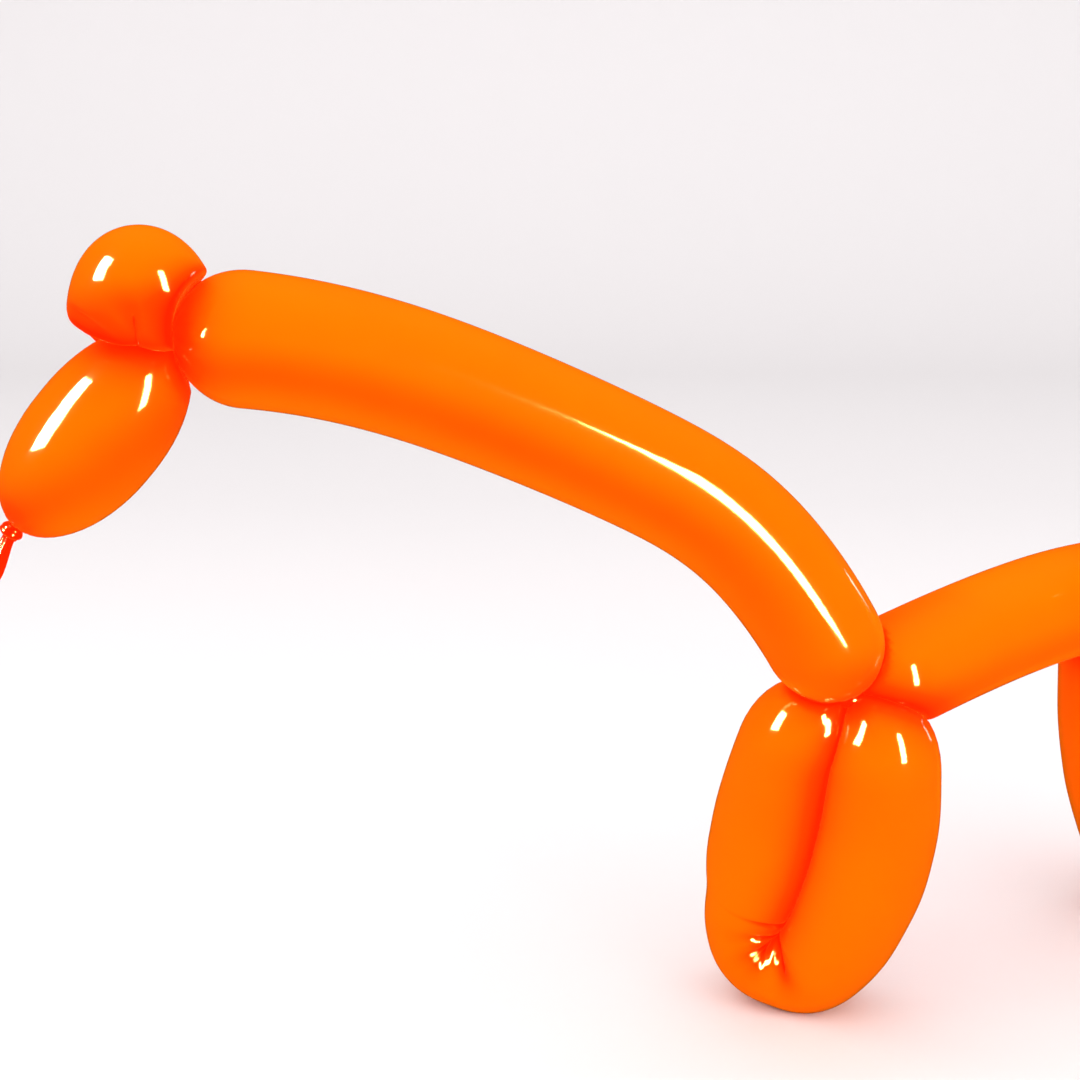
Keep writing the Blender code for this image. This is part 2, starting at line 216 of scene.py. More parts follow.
# Camera: the photograph's frame, and where the floor under the shoulder lies in it
IMAGE_PIXELS = 1080
FOCAL_PIXELS = 1800
SENSOR_WIDTH_MM = 36
CAMERA_TILT = 16
SHOULDER_FLOOR_PIXEL = (833, 1021.5)
SHOULDER_FLOOR_DEPTH = 0.75

# Paper, metres: it lies flat in rows, then sweeps up behind
PAPER_ROWS = (-4.0, -1.0, 0.0, 0.7)
PAPER_COLUMNS = (-6, -2, 2, 6)
PAPER_TOP = 5.0
SWEEP_START = 1.4
SWEEP_RADIUS = 1.0
SWEEP_STEP = 6

# Its tones from in front of the animal to behind it, as shares of the way, and its faint tint; the tones are
# painted light
PAPER_FRONT = -0.3
PAPER_PAINTED_LIGHT_TONES = ((0, 0.85), (0.08, 0.63), (0.22, 0.59), (0.41, 0.52), (0.63, 0.49), (1, 0.55))
PAPER_TINT = (1, 0.966, 0.975)
PAPER_ROUGHNESS = 0.8
PAPER_GLOSS = 0.1

# Soft light from all round and from a large panel overhead
ROUND_LIGHT_COLOUR = (1.0, 0.98, 0.985, 1)
ROUND_LIGHT_STRENGTH = 1.0
OVERHEAD_HEIGHT = 2.6
OVERHEAD_SIZE = 5.0
OVERHEAD_ELEVATION = 89
OVERHEAD_RADIANCE = 1.7

# Softboxes: azimuth and elevation in degrees, then distance, width, height and radiance
SOFTBOX_TARGET = (0, 0, 0.18)
SOFTBOXES = {"left softbox": (-66, 25, 1.5, 0.42, 0.8, 400),
             "right softbox": (36, 12, 1.6, 0.26, 1.0, 400),
             "rim panel": (120, 2, 1.8, 0.4, 0.4, 8)}


def blend_along(stations, values, at):
    """Values at the given places, on a smooth curve through the stations that never overshoots them."""
    x = np.asarray(stations, float)
    y = np.asarray(values, float)
    step = np.diff(x)
    slope = np.diff(y) / step
    tangent = np.zeros_like(y)
    tangent[0] = slope[0]
    tangent[-1] = slope[-1]
    for i in range(1, len(x) - 1):
        if slope[i - 1] * slope[i] > 0:
            before = 2 * step[i] + step[i - 1]
            after = step[i] + 2 * step[i - 1]
            tangent[i] = (before + after) / (before / slope[i - 1] + after / slope[i])
    i = np.clip(np.searchsorted(x, at, side="right") - 1, 0, len(x) - 2)
    u = (at - x[i]) / step[i]
    rise = 3 * u**2 - 2 * u**3
    return ((1 - rise) * y[i] + rise * y[i + 1]
            + (u**3 - 2 * u**2 + u) * step[i] * tangent[i]
            + (u**3 - u**2) * step[i] * tangent[i + 1])


def smooth_step(share):
    """From 0 to 1 with level ends."""
    share = np.clip(share, 0, 1)
    return share * share * (3 - 2 * share)


def soft_above(x, softness):
    """x where it is well above zero, zero where it is well below, and a round bend between."""
    bend = (x + softness) ** 2 / (4 * softness)
    return np.where(x < -softness, 0, np.where(x > softness, x, bend))


def direction(yaw, pitch):
    """Unit vectors for headings in radians."""
    return np.stack([np.cos(pitch) * np.cos(yaw), np.cos(pitch) * np.sin(yaw), np.sin(pitch)], -1)


def line_steps():
    """The middles of the short steps that a centre line is added up from."""
    return (np.arange(LINE_STEPS) + 0.5) / LINE_STEPS


def heading_line(start, length, turns):
    """Centre line that leaves start and follows the headings."""
    share, yaw, pitch = np.array(turns, float).T
    at = line_steps()
    steps = direction(np.radians(blend_along(share, yaw, at)), np.radians(blend_along(share, pitch, at)))
    return np.vstack([start, start + np.cumsum(steps * length / LINE_STEPS, axis=0)])


def foot_drop(top):
    """How far below top the lowest point of a leg loop's centre line lies."""
    return top[2] - (FOOT_HALF - FOOT_FLAT)


def smoothed(values):
    """A row of values with its small corners rounded off and its ends kept."""
    padded = np.pad(values, LOOP_SMOOTHING // 2, mode="reflect", reflect_type="odd")
    return np.convolve(padded, np.ones(LOOP_SMOOTHING) / LOOP_SMOOTHING, mode="valid")


def loop_line(top, yaw, side, shift):
    """Centre line of a leg loop from top down to the floor and back, its plane's normal and half thickness.

    side is 1, or -1 for a mirrored loop; shift moves the foot along the loop's plane.
    """
    out, down, half = np.array(LEG_LOOP, float).T * MM
    chord = np.concatenate([[0], np.cumsum(np.hypot(np.diff(out), np.diff(down)))])
    at = np.linspace(0, chord[-1], LINE_STEPS + 1)
    out, down, half = (smoothed(blend_along(chord, values, at)) for values in (out, down, half))
    sink = down / down.max()
    across = direction(math.radians(yaw), 0.0)
    line = top + np.outer(side * out + shift * sink, across) - np.outer(sink * foot_drop(top), (0, 0, 1))
    return line, np.cross(across, (0, 0, 1)), half


def ear_line(head, tilt):
    """Arched centre line of an ear, from the head's twist to the twist between the ears, with its plane."""
    along = direction(math.radians(EAR_YAW), math.radians(EAR_PITCH))
    side = np.cross(along, (0, 0, 1))
    side /= np.linalg.norm(side)
    out = math.cos(math.radians(tilt)) * np.cross(side, along) + math.sin(math.radians(tilt)) * side
    angle = np.linspace(0, math.pi, LINE_STEPS + 1)
    forward = np.outer(EAR_CHORD / 2 * (1 - np.cos(angle)), along)
    return head + forward + np.outer(EAR_HEIGHT * np.sin(angle), out), np.cross(along, out)


def distances(line):
    """Distance of each point of a line from its start, along it."""
    return np.concatenate([[0], np.cumsum(np.linalg.norm(np.diff(line, axis=0), axis=1))])


def point_on(line, far, at):
    """Points of a line at the given distances along it."""
    return np.stack([np.interp(at, far, line[:, k]) for k in range(3)], -1)


def ring_places(line, far, cap):
    """Where the rings stand: close together in the caps and where the line turns."""
    opening = (np.arange(CAP_RINGS) + 0.1) / CAP_RINGS * math.pi / 2
    in_cap = cap * (1 - np.cos(opening))
    heading = np.diff(line, axis=0)
    heading /= np.linalg.norm(heading, axis=1)[:, None]
    turn = np.arccos(np.clip(np.sum(heading[1:] * heading[:-1], axis=1), -1, 1))
    spread = np.ones(2 * round(TURN_SPREAD * LINE_STEPS / far[-1] / 2) + 1)
    turn = np.convolve(turn, spread / len(spread), mode="same")
    rings = np.diff(far) / RING_PITCH
    rings[1:] += turn / RING_TURN
    count = np.concatenate([[0], np.cumsum(rings)])
    first, last = np.interp((cap, far[-1] - cap), far, count)
    middle = np.interp(np.linspace(first, last, max(3, round(last - first))), count, far)
    return np.concatenate([in_cap, middle, far[-1] - in_cap[::-1]])


def ring_frames(line, far, at, plane_normal=None):
    """Centre, heading and two cross directions of each ring."""
    reach = far[-1] / LINE_STEPS
    centre = point_on(line, far, at)
    ahead = point_on(line, far, np.minimum(at + reach, far[-1]))
    behind = point_on(line, far, np.maximum(at - reach, 0))
    heading = ahead - behind
    heading /= np.linalg.norm(heading, axis=1)[:, None]
    if plane_normal is not None:
        upright = np.tile(plane_normal / np.linalg.norm(plane_normal), (len(at), 1))
        cross = np.cross(upright, heading)
        cross /= np.linalg.norm(cross, axis=1)[:, None]
        return centre, heading, cross, np.cross(heading, cross)
    cross = np.zeros_like(heading)
    start = np.cross(heading[0], (1, 0, 0) if abs(heading[0][0]) < 0.7 else (0, 1, 0))
    cross[0] = start / np.linalg.norm(start)
    for i in range(1, len(at)):
        turned = cross[i - 1] - cross[i - 1] @ heading[i] * heading[i]
        cross[i] = turned / np.linalg.norm(turned)
    return centre, heading, cross, np.cross(heading, cross)


def room_inside(line, centre, inward):
    """How far each ring may reach inward before another part of the same tube is as near."""
    away = line[None] - centre[:, None]
    along = np.sum(away * inward[:, None], axis=-1)
    square = np.sum(away**2, axis=-1)
    ahead = along > 1e-3 * np.sqrt(square) + 1e-9
    limit = np.where(ahead, square / np.where(ahead, 2 * along, 1), np.inf)
    closeness = smooth_step((KINK_REACH**2 - square) / KINK_REACH**2)
    limit *= 1 - (1 - KINK_ROOM) * closeness
    return limit.min(axis=1) - FOLD_GAP / 2


def round_end(share):
    """Radius of a rounded end as a share of the full radius."""
    return np.sqrt(1 - (1 - np.clip(share, 0, 1))**2)


def make_bubble(line, radius, cap, plane_normal=None, start_radius=None, half=None):
    """Rings of one bubble: a tube with rounded, pleated ends, dented where it is folded against itself.

    half gives the half thickness of a leg loop along its line.
    """
    far = distances(line)
    length = far[-1]
    cap = min(cap, length / 2)
    at = ring_places(line, far, cap)
    centre, heading, cross, upright = ring_frames(line, far, at, plane_normal)
    full = radius if start_radius is None else start_radius + (radius - start_radius) * at / length
    size = np.maximum(full * round_end(at / cap) * round_end((length - at) / cap), TWIST_END_RADIUS)
    from_end = np.minimum(at, length - at)
    angle = np.arange(SIDES) / SIDES * 2 * math.pi
    pleat = PLEAT_DEPTH * np.exp(-from_end / PLEAT_LENGTH)[:, None]
    pleat = pleat * (0.5 - 0.5 * np.cos(PLEATS * angle)) ** 3
    a = size[:, None] * (1 - pleat) * np.cos(angle)
    b = size[:, None] * (1 - pleat) * np.sin(angle)
    crevice = np.zeros_like(a)
    thick = size
    softness = EAR_FOLD_SOFTNESS
    crease_shade_share = EAR_CREASE_SHADE
    most = EAR_STRETCH
    if half is not None:
        thick = size * np.interp(at, far, half) / radius
        a = a * (thick / size)[:, None]
        softness = FOLD_SOFTNESS
        # Painted crease shade, less on one limb of the loop than on the other
        crease_shade_share = 1 - SHADED_LIMB * smooth_step((at / length - 0.5) * SHADE_CHANGE)
        most = LEG_STRETCH
    if plane_normal is not None:
        inner = math.copysign(1, np.sum(np.diff(heading, axis=0) * cross[1:]))
        room = room_inside(line, centre, inner * cross)
        stretch = np.clip((room + softness) / thick, 1, most)
        a = np.where(inner * a > 0, a * stretch[:, None], a)
        spare = room[:, None] - inner * a
        # Painted shade: the latex is made redder where the folded sides close together
        crevice = np.exp(-np.maximum(spare, 0) / CREASE_SHADE_REACH) * np.broadcast_to(crease_shade_share, at.shape)[:, None]
        a = inner * (inner * a + spare - soft_above(spare, softness))
    rings = centre[:, None] + a[..., None] * cross[:, None] + b[..., None] * upright[:, None]
    slack = np.repeat(np.exp(-from_end / SLACK_LENGTH)[:, None], SIDES, axis=1)
    return {"rings": rings, "at": at, "line": line, "far": far, "lead": min(radius, length / 2),
            "crevice": crevice, "slack": slack}


def fold_ear(bubble, head):
    """Presses a shallow step into the lower front of the near ear, where its latex is folded over itself."""
    rings = bubble["rings"]
    from_fold = (rings - head - np.array(EAR_FOLD_PLACE) * MM) @ np.array(EAR_FOLD_FACING)
    near = np.exp(-np.sum((rings - head - np.array(EAR_FOLD_PLACE) * MM)**2, axis=-1) / EAR_FOLD_REACH**2)
    step = smooth_step(from_fold / EAR_FOLD_WIDTH) * EAR_FOLD_DEPTH * near
    middle = rings.reshape(-1, 3).mean(axis=0)
    inward = middle - rings
    inward /= np.linalg.norm(inward, axis=-1)[..., None]
    bubble["rings"] = rings + step[..., None] * inward
    # Painted shade: the latex is made redder along the ear's fold
    red = EAR_FOLD_SHADE * near * smooth_step(from_fold / EAR_FOLD_WIDTH + 0.5)
    bubble["crevice"] = np.maximum(bubble["crevice"], red)


def lean_aside(bubble, top, drop, aside):
    """Leans a leg loop, so that its foot moves by the vector aside while its top stays."""
    for part in ("rings", "line"):
        sink = (top[2] - bubble[part][..., 2]) / drop
        bubble[part] = bubble[part] + sink[..., None] * aside


def slack_tube(line, stations, wrinkles=5):
    """Rings of uninflated latex round a line: stations are pairs of distance along it and radius."""
    far = distances(line)
    at, size = np.array(stations, float).T
    centre, _, cross, upright = ring_frames(line, far, np.clip(at, 0, far[-1]))
    angle = np.arange(SIDES) / SIDES * 2 * math.pi
    waves = np.cos(wrinkles * angle + at[:, None] / TIP_LENGTH)
    waves = waves + SLACK_FINE_WRINKLE * np.cos((wrinkles + 3) * angle + 1)
    reach = size[:, None] * (1 + SLACK_WRINKLE * waves - SLACK_WRINKLE)
    rings = (centre[:, None] + (reach * np.cos(angle))[..., None] * cross[:, None]
             + (reach * np.sin(angle))[..., None] * upright[:, None])
    return {"rings": rings, "crevice": np.zeros(reach.shape), "slack": np.ones(reach.shape)}


def smooth_stations(points, count):
    """Many stations on a smooth curve through a few."""
    points = np.array(points, float)
    share = np.linspace(0, 1, len(points))
    fine = np.linspace(0, 1, count)
    return np.stack([blend_along(share, points[:, k], fine) for k in range(2)], -1)


def make_nozzle(start):
    """Slack end beyond the knot: it widens to a rolled lip, and its mouth is open."""
    line = heading_line(start, NOZZLE_LENGTH, NOZZLE_TURNS)
    outside = smooth_stations(((0, TWIST_END_RADIUS), (0.1 * NOZZLE_LENGTH, KNOT_RADIUS * 0.5),
                               (0.3 * NOZZLE_LENGTH, NOZZLE_RADIUS * 0.75),
                               (0.55 * NOZZLE_LENGTH, NOZZLE_RADIUS),
                               (0.8 * NOZZLE_LENGTH, LIP_RADIUS * 0.78),
                               (NOZZLE_LENGTH - 2 * LIP_ROLL, LIP_RADIUS - 1.2 * LIP_ROLL)), NOZZLE_RINGS)
    turn = np.radians(np.arange(-90, 181, 15))
    roll = np.stack([NOZZLE_LENGTH - LIP_ROLL + LIP_ROLL * np.sin(turn),
                     LIP_RADIUS - LIP_ROLL + LIP_ROLL * np.cos(turn)], -1)
    inside = smooth_stations(((NOZZLE_LENGTH - 2 * LIP_ROLL, LIP_RADIUS - 2.4 * LIP_ROLL),
                              (0.8 * NOZZLE_LENGTH, LIP_RADIUS * 0.5),
                              (0.6 * NOZZLE_LENGTH, CLOSED_RADIUS)), MOUTH_RINGS)
    return slack_tube(line, np.concatenate([outside, roll, inside]))


def make_knot(start):
    """Turns of tightly pulled latex round the nozzle."""
    ahead = direction(*np.radians(NOZZLE_TURNS[0][1:]))
    middle = start + KNOT_PLACE * NOZZLE_LENGTH * ahead
    side = np.cross(ahead, (0, 1, 0))
    side /= np.linalg.norm(side)
    over = np.cross(ahead, side)
    turn = np.linspace(0, KNOT_TURNS * 2 * math.pi, LINE_STEPS + 1)
    radius = KNOT_RADIUS * KNOT_STRAND
    wide = KNOT_RADIUS - radius
    slope = KNOT_SLOPE * np.sin(turn * 0.5)
    line = (middle + np.outer(wide * np.cos(turn), side) + np.outer(wide * np.sin(turn), over)
            + np.outer((turn / (2 * math.pi) - KNOT_TURNS / 2) * radius * KNOT_PITCH + slope * radius, ahead))
    length = distances(line)[-1]
    ends = KNOT_END_LENGTH
    stations = smooth_stations(((0, STRAND_END_RADIUS), (ends, radius * 0.9), (length / 2, radius * 0.94),
                                (length - ends, radius * 0.9), (length, STRAND_END_RADIUS)), KNOT_RINGS)
    return slack_tube(line, stations, wrinkles=2)


def make_tip(start, turns):
    """Limp end of the balloon that the air never reached."""
    line = heading_line(start, TIP_LENGTH, turns)
    stations = smooth_stations(((0, TIP_RADIUS), (0.35 * TIP_LENGTH, TIP_RADIUS * 0.85),
                                (0.7 * TIP_LENGTH, TIP_RADIUS), (0.92 * TIP_LENGTH, TIP_RADIUS * 0.75),
                                (TIP_LENGTH, CLOSED_RADIUS)), TIP_RINGS)
    return slack_tube(line, stations)


def make_twist(centre, way, radius):
    """Short rope of latex wrung together at a twist."""
    reach = way / np.linalg.norm(way) * radius
    line = centre + np.outer(np.linspace(-1, 1, LINE_STEPS + 1), reach)
    share = np.linspace(-0.99, 0.99, TWIST_RINGS)
    stations = np.stack([(share + 1) * radius, radius * TWIST_WIDTH * np.sqrt(1 - share**2)], -1)
    return slack_tube(line, stations, wrinkles=6)


def way_out(bubble, end, twist):
    """Unit vector from a twist into the bubble that starts or ends there."""
    at = bubble["lead"] if end == 0 else bubble["far"][-1] - bubble["lead"]
    out = point_on(bubble["line"], bubble["far"], at) - twist
    return out / np.linalg.norm(out)


def from_plane(points, twist, way, other_way, firm):
    """How far points are from the bent wall between two bubbles, and the wall's direction."""
    normal = (way - other_way) / np.linalg.norm(way - other_way)
    from_twist = points - twist
    middle = (way + other_way) / np.linalg.norm(way + other_way) * BULGE_PLACE
    beside = from_twist - middle
    beside = beside - (beside @ normal)[..., None] * normal
    spread = np.sum(beside**2, axis=-1) / BULGE_REACH**2
    return from_twist @ normal - CONTACT_GAP / 2 + firm * BULGE * np.maximum(1 - spread, 0), normal


def from_dome(points, twist, dome_way, radius, seen_from=None):
    """How far points are from the round end of the neck, along the neck.

    Nothing reaches in front of the round end on the side that it is seen from.
    """
    along = (points - twist) @ dome_way
    beside = points - twist - along[..., None] * dome_way
    if seen_from is not None:
        side = seen_from - seen_from @ dome_way * dome_way
        side /= np.linalg.norm(side)
        beside = beside - np.maximum(beside @ side, 0)[..., None] * side
    wide = np.clip(np.linalg.norm(beside, axis=-1) / radius, 0, 1)
    return NECK_CAP * (1 - np.sqrt(1 - wide**2)) - along - CONTACT_GAP, -dome_way


def press_apart(bubbles, twist, ends, seen_from=None):
    """Dents the bubbles that meet at a twist against each other, with round edges to the dents.

    The neck keeps its round ends, and dents the others. seen_from is the way to the side that shows the
    neck's end whole.
    """
    ways = {(name, end): way_out(bubbles[name], end, twist) for name, end in ends}
    for (name, end), way in ways.items():
        if name == "neck":
            continue
        bubble = bubbles[name]
        nearer = bubble["at"] <= bubble["far"][-1] / 2
        part = nearer if end == 0 else ~nearer
        part |= bubble["far"][-1] < PRESS_REACH
        points = bubble["rings"][part]
        crevice = bubble["crevice"][part]
        for turn in range(PRESS_ROUNDS):
            for (other, other_end), other_way in ways.items():
                if other == name:
                    continue
                if other == "neck":
                    radius = NECK_SHOULDER_RADIUS if other_end == 0 else NECK_RADIUS
                    spare, normal = from_dome(points, twist, other_way, radius, seen_from)
                else:
                    firm = np.sign(FIRMER.get(name, 0) - FIRMER.get(other, 0))
                    spare, normal = from_plane(points, twist, way, other_way, firm)
                away = np.linalg.norm(points - twist, axis=-1)
                near = smooth_step((PRESS_REACH - away) / PRESS_FADE)
                softness = np.minimum(PRESS_SOFTNESS, SOFTNESS_GROWTH * away + LEAST_SOFTNESS)
                if other == "neck" and seen_from is not None:
                    softness = HEAD_SOFTNESS_SHARE * softness
                kept = soft_above(spare, softness) if turn == 0 else np.maximum(spare, 0)
                points = points + ((kept - spare) * near)[..., None] * normal
                if turn == 0:
                    # Painted shade: the latex is made redder near the dents where the bubbles press together
                    crevice = np.maximum(crevice, near * np.exp(-np.maximum(spare, 0) / CREASE_SHADE_REACH))
        bubble["rings"][part] = points
        bubble["crevice"][part] = crevice


def shape_animal():
    """Every bubble, pressed against its neighbours, and the places of the twists."""
    shoulder = np.array((0, 0, SHOULDER_HEIGHT))
    neck = heading_line(shoulder, NECK_LENGTH, NECK_TURNS)
    head = neck[-1]
    snout = heading_line(head, SNOUT_LENGTH, SNOUT_TURNS)
    near_ear, near_plane = ear_line(head, NEAR_EAR_TILT)
    far_ear, far_plane = ear_line(head, FAR_EAR_TILT)
    front_legs, front_plane, front_half = loop_line(shoulder, FRONT_LEG_YAW, 1, 0)
    body = heading_line(shoulder, BODY_LENGTH, BODY_TURNS)
    hip = body[-1]
    hind_legs, hind_plane, hind_half = loop_line(hip, HIND_LEG_YAW, -1, HIND_LOOP_SHIFT)
    tail = heading_line(hip, TAIL_LENGTH, TAIL_TURNS)
    tail_end = tail[-1]
    last_heading = TAIL_TURNS[-1][1:]
    straight_on = ((0, *last_heading), (1, *last_heading))
    pompom = heading_line(tail_end, POMPOM_LENGTH, straight_on)

    bubbles = {
        "snout": make_bubble(snout, SNOUT_RADIUS, SNOUT_CAP),
        "near ear": make_bubble(near_ear, EAR_RADIUS, EAR_CAP, near_plane),
        "far ear": make_bubble(far_ear, EAR_RADIUS, EAR_CAP, far_plane),
        "neck": make_bubble(neck, NECK_RADIUS, NECK_CAP, start_radius=NECK_SHOULDER_RADIUS),
        "front legs": make_bubble(front_legs, FRONT_LEG_RADIUS, LEG_CAP, front_plane, half=front_half),
        "body": make_bubble(body, BODY_RADIUS, BODY_CAP),
        "hind legs": make_bubble(hind_legs, HIND_LEG_RADIUS, LEG_CAP, hind_plane, half=hind_half),
        "tail": make_bubble(tail, TAIL_RADIUS, TAIL_CAP),
        "pompom": make_bubble(pompom, POMPOM_RADIUS, POMPOM_LENGTH / 2),
    }
    lean_aside(bubbles["front legs"], shoulder, foot_drop(shoulder), -FEET_ASIDE * front_plane)
    lean_aside(bubbles["hind legs"], hip, foot_drop(hip), -FEET_ASIDE * hind_plane)
    press_apart(bubbles, shoulder, (("neck", 0), ("front legs", 0), ("front legs", 1), ("body", 0)))
    press_apart(bubbles, head, (("neck", 1), ("snout", 0), ("near ear", 0), ("far ear", 0)),
                np.array(HEAD_SEEN_FROM))
    press_apart(bubbles, near_ear[-1], (("near ear", 1), ("far ear", 1)))
    fold_ear(bubbles["near ear"], head)
    press_apart(bubbles, hip, (("body", 1), ("hind legs", 0), ("hind legs", 1), ("tail", 0)))
    press_apart(bubbles, tail_end, (("tail", 1), ("pompom", 0)))
    for bubble in bubbles.values():
        bubble["rings"][..., 2] = np.maximum(bubble["rings"][..., 2], 0)
    nozzle_start = snout[-1] - SLACK_OVERLAP * direction(*np.radians(NOZZLE_TURNS[0][1:]))
    tip_start = pompom[-1] - SLACK_OVERLAP * direction(*np.radians(last_heading))
    tubes = list(bubbles.values())
    tubes += [make_nozzle(nozzle_start), make_knot(nozzle_start), make_tip(tip_start, straight_on)]
    for twist, after, wide in ((shoulder, body, BIG_TWIST_RADIUS), (head, snout, TWIST_RADIUS),
                               (near_ear[-1], snout, TWIST_RADIUS), (hip, tail, BIG_TWIST_RADIUS),
                               (tail_end, pompom, TWIST_RADIUS)):
        tubes.append(make_twist(twist, after[LINE_STEPS // 10] - after[0], wide))
    return tubes


def tube_mesh(name, tubes):
    """One mesh object from closed tubes, each a dict of rings with its slack and painted crease shade shares.
    """
    points = []
    faces = []
    shares = {"slack": [], "crevice": []}
    for tube in tubes:
        rings = tube["rings"]
        count, sides = rings.shape[:2]
        base = sum(len(block) for block in points)
        points.append(rings.reshape(-1, 3))
        points.append(np.array([rings[0].mean(axis=0), rings[-1].mean(axis=0)]))
        for key, blocks in shares.items():
            blocks.append(tube[key].ravel())
            blocks.append(np.array([tube[key][0].mean(), tube[key][-1].mean()]))
        i = np.arange(sides)
        j = (i + 1) % sides
        for row in range(count - 1):
            low = base + row * sides
            faces.extend(np.stack([low + i, low + j, low + sides + j, low + sides + i], 1).tolist())
        start = base + count * sides
        last = base + (count - 1) * sides
        faces.extend(np.stack([np.full(sides, start), base + j, base + i], 1).tolist())
        faces.extend(np.stack([np.full(sides, start + 1), last + i, last + j], 1).tolist())
    mesh = bpy.data.meshes.new(name)
    mesh.from_pydata(np.concatenate(points).tolist(), [], faces)
    for key, blocks in shares.items():
        layer = mesh.attributes.new(key, "FLOAT", "POINT")
        layer.data.foreach_set("value", np.concatenate(blocks).astype(np.float32))
    mesh.shade_smooth()
    mesh.update()
    made = bpy.data.objects.new(name, mesh)
    bpy.context.scene.collection.objects.link(made)
    return made


def facing_out(made):
    """Turns the faces of each closed tube outward."""
    bpy.context.view_layer.objects.active = made
    made.select_set(True)
    bpy.ops.object.mode_set(mode="EDIT")
    bpy.ops.mesh.select_all(action="SELECT")
    bpy.ops.mesh.normals_make_consistent(inside=False)
    bpy.ops.object.mode_set(mode="OBJECT")
    made.select_set(False)


def align_to_cad(made):
    """Moves the mesh so that its box sits in the middle of the CAD node's box, on the floor."""
    low, high = (np.array(corner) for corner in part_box("balloon"))
    points = np.empty(len(made.data.vertices) * 3)
    made.data.vertices.foreach_get("co", points)
    points = points.reshape(-1, 3)
    shift = (low + high) / 2 - (points.min(axis=0) + points.max(axis=0)) / 2
    shift[2] = low[2] - points[:, 2].min()
    made.data.vertices.foreach_set("co", (points + shift).ravel())
    made.data.update()
    return shift


def node(nodes, kind, **values):
    """Adds a shader node and sets its inputs or properties by name."""
    made = nodes.new(kind)
    for key, value in values.items():
        if hasattr(made, key):
            setattr(made, key, value)
        else:
            made.inputs[key.replace("_", " ")].default_value = value
    return made


def colour_ramp(nodes, stops, interpolation="LINEAR"):
    """Adds a colour ramp; each stop is a position and a colour."""
    made = node(nodes, "ShaderNodeValToRGB")
    made.color_ramp.interpolation = interpolation
    elements = made.color_ramp.elements
    for element, (position, colour) in ((elements[0], stops[0]), (elements[1], stops[-1])):
        element.position = position
        element.color = colour
    for position, colour in stops[1:-1]:
        elements.new(position).color = colour
    return made


